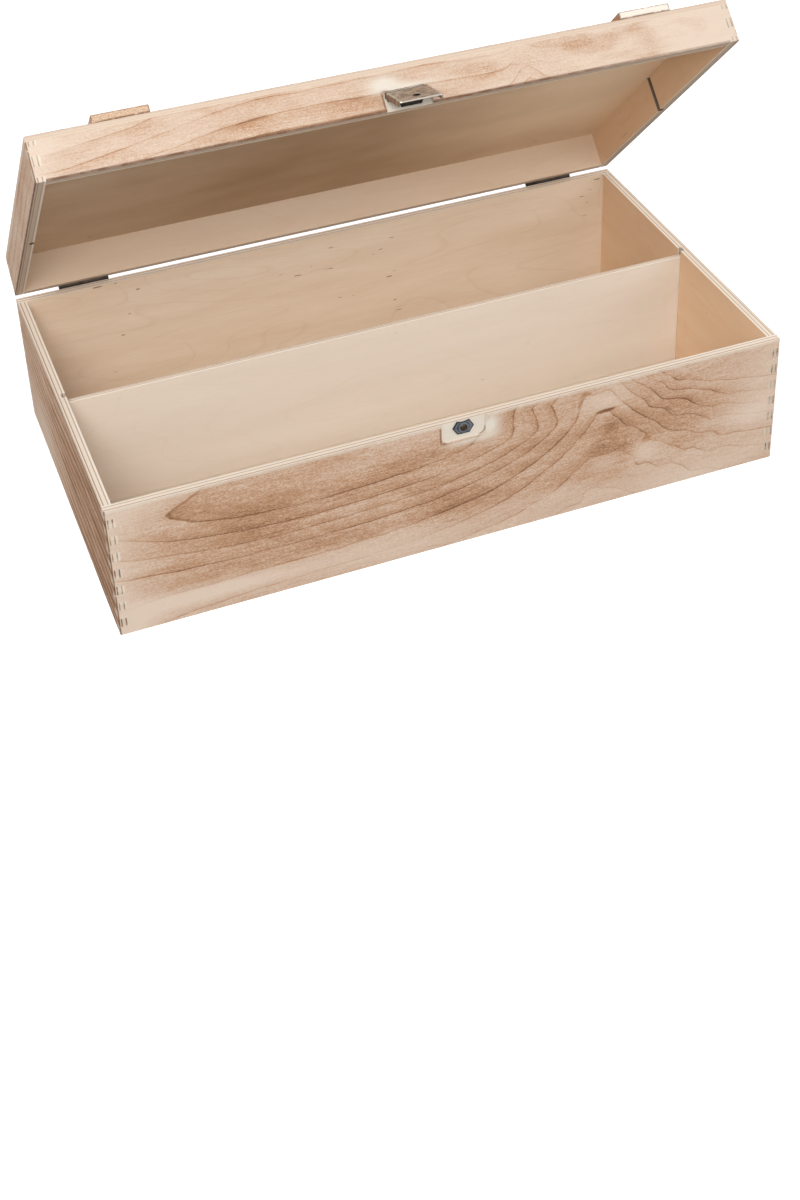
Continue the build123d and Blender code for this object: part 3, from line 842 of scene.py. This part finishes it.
def batten_material(name, side, shift, end_whiteness):
    """Flamed strip with its grain front to back: specked end grain, and arrises charred dark."""
    material, tree = new_material(name)
    x, y, z = parts(box_place(tree, True))
    across = x - side * (half_length - batten_inset)
    place = vector(y, across, z + shift * pattern_step)
    colour, height = use(flamed_face, [place, *batten_figure(y, across, place)])
    speck = noise(place, (0.5, 0.75, 0.6), detail=3, roughness=0.8)
    end_tone = shades(speck, (0.36, flame_brown), (0.47, batten_end_brown), (0.62, batten_end_tan))
    at_end = rising(absolute(y), half_depth - 0.4, half_depth - 0.05)
    colour = blend(at_end, colour, blend(end_whiteness, end_tone, batten_end_white))
    to_side = batten_width / 2 - absolute(across)
    to_end = half_depth - absolute(y)
    to_top = batten_bottom + batten_thickness - z
    to_foot = z - batten_bottom
    to_outline = number("MINIMUM", to_side, to_end)
    top_arris = number("MAXIMUM", to_top, to_outline)
    foot_arris = number("MAXIMUM", to_foot, to_outline)
    upright_arris = number("MAXIMUM", to_side, to_end)
    to_arris = number("MINIMUM", number("MINIMUM", top_arris, upright_arris), foot_arris)
    ragged = noise(place, (5, 5, 5), detail=3, roughness=0.7)
    charred = falling(to_arris, 0.15, 1.0) * rising(ragged, 0.30, 0.52)
    colour = blend(charred * 0.8, colour, flame_brown)
    roughness = wood_roughness + (speck - 0.5) * 0.14
    finish_material(material, colour, roughness, height, wood_relief, Specular_IOR_Level=wood_gloss)
    return material


finish_node("left_batten", batten_material("left_batten", -1, 18.0, 0.15))
finish_node("right_batten", batten_material("right_batten", 1, 20.0, 0.85))
finish_node("batten_brads", wire)

# Two small butt hinges at the back: leaves of pressed sheet steel coloured nearly black, rolled round a pin.
# Round-headed brads fix one leaf to the base's back wall and the other to the lid's.
hinge_steel = steel_material("hinge_steel", (0.062, 0.052, 0.045), (0.028, 0.023, 0.020), 0.42, 0.6, 6.0)
for side in ("left", "right"):
    for piece in ("hinge_base_leaf", "hinge_lid_leaf", "hinge_pin"):
        finish_node(f"{side}_{piece}", hinge_steel)
finish_node("hinge_base_brads", wire)
finish_node("hinge_lid_brads", wire)

# The latch's flap: pressed sheet steel, nickel plated, with a round hole and bent sides; its brownish tone is
# painted reflection of the wood and the dark surround.
# It swings on a wire pin in the ears of a narrow mounting plate, which two brads hold in the lid's recess.
flap_pin_y = -half_depth - 1.2
flap_pin_z = lid_rim + 7.4
flap_rest_angle = math.radians(56.8)
flap_width = 22.8
flap_reach = 20.2
flap_hole_along = flap_reach - 6.7
flap_hole_reach = 1.9
flap_nickel_reflection = (0.46, 0.375, 0.29)
flap_smudge_and_reflection = (0.17, 0.12, 0.085)
flap_edge_highlight = (0.74, 0.66, 0.57)
flap_pin_shade = (0.05, 0.042, 0.038)
flap_hole_shade = (0.02, 0.018, 0.016)


def flap_material(name):
    """The flap: smudged nickel browned by painted reflection, painted highlights on its edges, painted shade
    by the pin and in the hole, placed by the distance from its pin along the flap.
    """
    material, tree = new_material(name)
    x, y, z = parts(box_place(tree, True))
    behind, above = y - flap_pin_y, z - flap_pin_z
    along = behind * -math.sin(flap_rest_angle) - above * math.cos(flap_rest_angle)
    side = x - latch_x
    place = vector(side, along, 0.0)
    smudge, scratch = use(steel_wear, [place, 1.0])
    streaks = rising(noise(place, (9.0, 1.6, 3.0), detail=3, roughness=0.6, shift=2.0), 0.42, 0.66)
    # Smudges and streaks darken the nickel, whose brownish tone is painted reflection of the wood and the
    # dark surround.
    colour = blend(clamped(smudge * 0.6 + streaks * 0.6), flap_nickel_reflection, flap_smudge_and_reflection)
    # Painted highlights: pale lines along the bent ridges and along the free edge.
    ridge_highlight = falling(absolute(absolute(side) - flap_width / 2 + 0.9), 0.15, 0.55)
    free_edge_highlight = rising(along, flap_reach - 0.75, flap_reach - 0.45)
    colour = blend(clamped(ridge_highlight * 0.6 + free_edge_highlight * 0.6), colour, flap_edge_highlight)
    # Painted shade: the flap turns near black along its pin.
    colour = blend(falling(along, 0.2, 1.1) * 0.8, colour, flap_pin_shade)
    # Painted shade in and round the hole.
    hole_shade = spot(side, along, (0.0, flap_hole_along), (flap_hole_reach, flap_hole_reach))
    colour = blend(rising(hole_shade, 0.22, 0.32), colour, flap_hole_shade)
    finish_steel(material, colour, smudge, scratch, 0.24, 0.42)
    return material


finish_node("latch_flap", flap_material("nickelled_steel"))
# The mounting plate and the flap's pin are dark brownish steel, whose tone is painted reflection like the
# flap's.
mount_reflection_steel = steel_material("mount_reflection_steel", (0.30, 0.25, 0.21), (0.16, 0.13, 0.105), 0.30, 0.45, 7.0)
for name in ("latch_mounting_plate", "latch_flap_pin"):
    finish_node(name, mount_reflection_steel)
finish_node("latch_plate_brads", wire)

# The catch: a small plate of dark blue-grey plated steel that swings on its own wire pin under the flap,
# darkened to near black as painted shade.
# When the flap is pressed shut, its lip hooks under the ring of the strike.
catch_shade_steel = steel_material("dark_steel", (0.050, 0.055, 0.065), (0.030, 0.032, 0.038), 0.35, 0.55, 2.0)
finish_node("latch_catch", catch_shade_steel)
finish_node("latch_catch_pin", wire)

# The strike: a six-sided plate of blue-grey steel with a raised ring, let into the base's recess. One nail
# through the ring holds it; the nail's head is coloured dark brown.
strike_width = 11.5
strike_flat = 6.7
strike_height = 7.7
strike_ring_radius = 3.1
strike_ring_bore = 2.0
strike_z = base_height - 4.4
strike_face_y = recess_depth - 0.8 - half_depth
strike_grey = (0.30, 0.335, 0.375)
strike_dull = (0.19, 0.215, 0.25)
strike_edge_shade = (0.035, 0.035, 0.038)
strike_step_shade = (0.06, 0.062, 0.068)
strike_bore = (0.07, 0.045, 0.03)


def strike_material(name):
    """The strike plate: blue-grey steel, with painted shade on its cut edges and side faces and in the step
    round its ring.

    The distance from a slanted edge is measured along its normal, whose shares across and up follow from the
    corners of the six-sided outline.
    """
    material, tree = new_material(name)
    x, y, z = parts(box_place(tree, False))
    side, rise = x - latch_x, z - strike_z
    smudge, scratch = use(steel_wear, [vector(side, rise, y), 3.0])
    colour = blend(smudge, strike_grey, strike_dull)
    slant_across, slant_up = (strike_width - strike_flat) / 2, strike_height / 2
    slant = math.hypot(slant_across, slant_up)
    across_share, up_share = slant_up / slant, slant_across / slant
    to_slant = strike_width / 2 * across_share - (absolute(side) * across_share + absolute(rise) * up_share)
    to_edge = number("MINIMUM", to_slant, strike_height / 2 - absolute(rise))
    # Painted shade, near black, on the side faces and along the cut edges.
    behind_face = rising(y, strike_face_y + 0.05, strike_face_y + 0.2)
    colour = blend(number("MAXIMUM", behind_face, falling(to_edge, 0.3, 0.65)) * 0.9, colour, strike_edge_shade)
    radius = root(side * side + rise * rise)
    # Painted shade in the step round the raised ring.
    step_shade = falling(absolute(radius - strike_ring_radius - 0.05), 0.15, 0.42)
    colour = blend(step_shade * 0.75, colour, strike_step_shade)
    bore = falling(radius, strike_ring_bore - 0.1, strike_ring_bore + 0.1)
    colour = blend(bore * 0.8, colour, strike_bore)
    finish_steel(material, colour, smudge, scratch, 0.34, 0.48)
    return material


finish_node("strike_plate", strike_material("strike_steel"))
nail_steel = steel_material("nail_steel", (0.17, 0.105, 0.065), (0.07, 0.045, 0.03), 0.12, 0.24, 5.0)
finish_node("strike_nail", nail_steel)

# The floor: a plain pale sheet that the box stands on, made to look white but for the box's shadow.
# Seen directly it glows a little, and more with the distance, so that it runs into the white surround.
floor_reach = 6.0
floor_grey = (0.45, 0.45, 0.45)
floor_pale = (0.72, 0.72, 0.72)
floor_mesh = bpy.data.meshes.new("floor")
corners = [(x * floor_reach, y * floor_reach, 0.0) for x, y in ((-1, -1), (1, -1), (1, 1), (-1, 1))]
floor_mesh.from_pydata(corners, [], [(0, 1, 2, 3)])
floor = bpy.data.objects.new("floor", floor_mesh)
bpy.context.scene.collection.objects.link(floor)
floor_material, floor_tree = new_material("floor")
seen = Field(floor_tree, floor_tree.nodes.new("ShaderNodeLightPath").outputs["Is Camera Ray"])
floor_place = Field(floor_tree, floor_tree.nodes.new("ShaderNodeTexCoord").outputs["Object"])
floor_x, floor_y = parts(floor_place)[:2]
away = rising(root(floor_x * floor_x + floor_y * floor_y), 0.45, 1.05)
matt = floor_tree.nodes.new("ShaderNodeBsdfDiffuse")
feed(matt.inputs["Color"], blend(seen, floor_grey, floor_pale))
glow = floor_tree.nodes.new("ShaderNodeEmission")
feed(glow.inputs["Strength"], seen * (0.50 + away * 0.6))
both = floor_tree.nodes.new("ShaderNodeAddShader")
floor_tree.links.new(matt.outputs[0], both.inputs[0])
floor_tree.links.new(glow.outputs[0], both.inputs[1])
floor_end = floor_tree.nodes.new("ShaderNodeOutputMaterial")
floor_tree.links.new(both.outputs[0], floor_end.inputs[0])
floor_mesh.materials.append(floor_material)

# The surround: even white where the camera sees it, directly or through something, and nearly so where steel
# mirrors it. As a light it is dimmer, so that the lamps shape the box.
sky_light = 0.42
mirrored_white = 0.9
world = bpy.data.worlds.new("studio")
bpy.context.scene.world = world
world.use_nodes = True
world.node_tree.nodes.clear()
paths = world.node_tree.nodes.new("ShaderNodeLightPath")
direct = Field(world.node_tree, paths.outputs["Is Camera Ray"])
glossy = Field(world.node_tree, paths.outputs["Is Glossy Ray"])
passed = Field(world.node_tree, paths.outputs["Is Transmission Ray"])
white = number("MAXIMUM", direct, number("MAXIMUM", glossy * mirrored_white, passed))
sky = world.node_tree.nodes.new("ShaderNodeBackground")
sky.inputs["Color"].default_value = (1.0, 1.0, 1.0, 1.0)
feed(sky.inputs["Strength"], white * (1.0 - sky_light) + sky_light)
sky_end = world.node_tree.nodes.new("ShaderNodeOutputWorld")
world.node_tree.links.new(sky.outputs[0], sky_end.inputs[0])

# Five soft square lamps: a strong one high above the front left, weaker ones at the right and the left, and
# two low ones behind and at the far right, which the steel doesn't mirror.
lamps = (
    ("front_lamp", (-0.70, -1.80, 1.72), 0.1, 1.1, 40.0, (1.0, 0.985, 0.965), True),
    ("right_lamp", (1.3, -1.3, 0.9), 0.1, 1.2, 7.0, (1.0, 0.99, 0.98), True),
    ("left_lamp", (-1.8, -0.25, 1.1), 0.1, 1.2, 10.0, (1.0, 0.985, 0.96), True),
    ("back_lamp", (0.7, 2.1, 0.62), 0.08, 1.0, 21.0, (1.0, 0.99, 0.975), False),
    ("far_right_lamp", (2.1, 0.3, 0.5), 0.05, 0.9, 10.0, (1.0, 0.99, 0.975), False),
)


def soft_lamp(name, place, target_height, size, power, colour, mirrored):
    """A square lamp at a place, turned to a height above the middle of the box, in metres and watts."""
    light = bpy.data.lights.new(name, "AREA")
    light.shape = "SQUARE"
    light.size = size
    light.energy = power
    light.color = colour
    lamp = bpy.data.objects.new(name, light)
    bpy.context.scene.collection.objects.link(lamp)
    lamp.location = place
    aim = Vector((0.0, 0.0, target_height)) - Vector(place)
    lamp.rotation_euler = aim.to_track_quat("-Z", "Y").to_euler()
    lamp.visible_glossy = mirrored


for lamp_values in lamps:
    soft_lamp(*lamp_values)

# The camera, worked out from the box's edges in the photograph: its place in metres, and the directions in
# the box's frame that point right, down and forward in the picture.
camera_data = bpy.data.cameras.new("camera")
camera = bpy.data.objects.new("camera", camera_data)
bpy.context.scene.collection.objects.link(camera)
camera_data.sensor_width = 36.0
camera_data.lens = 57.808
camera_data.shift_y = -0.2675
camera_place = (-0.29581, -0.83609, 0.65497)
view_right = Vector((0.93246, -0.35990, -0.03161))
view_down = Vector((-0.21533, -0.48337, -0.84852))
view_forward = Vector((0.29010, 0.79801, -0.52822))
turn = Matrix((view_right, -view_down, -view_forward)).transposed()
camera.matrix_world = Matrix.Translation(camera_place) @ turn.to_4x4()
bpy.context.scene.camera = camera
bpy.context.scene.view_settings.view_transform = "Standard"
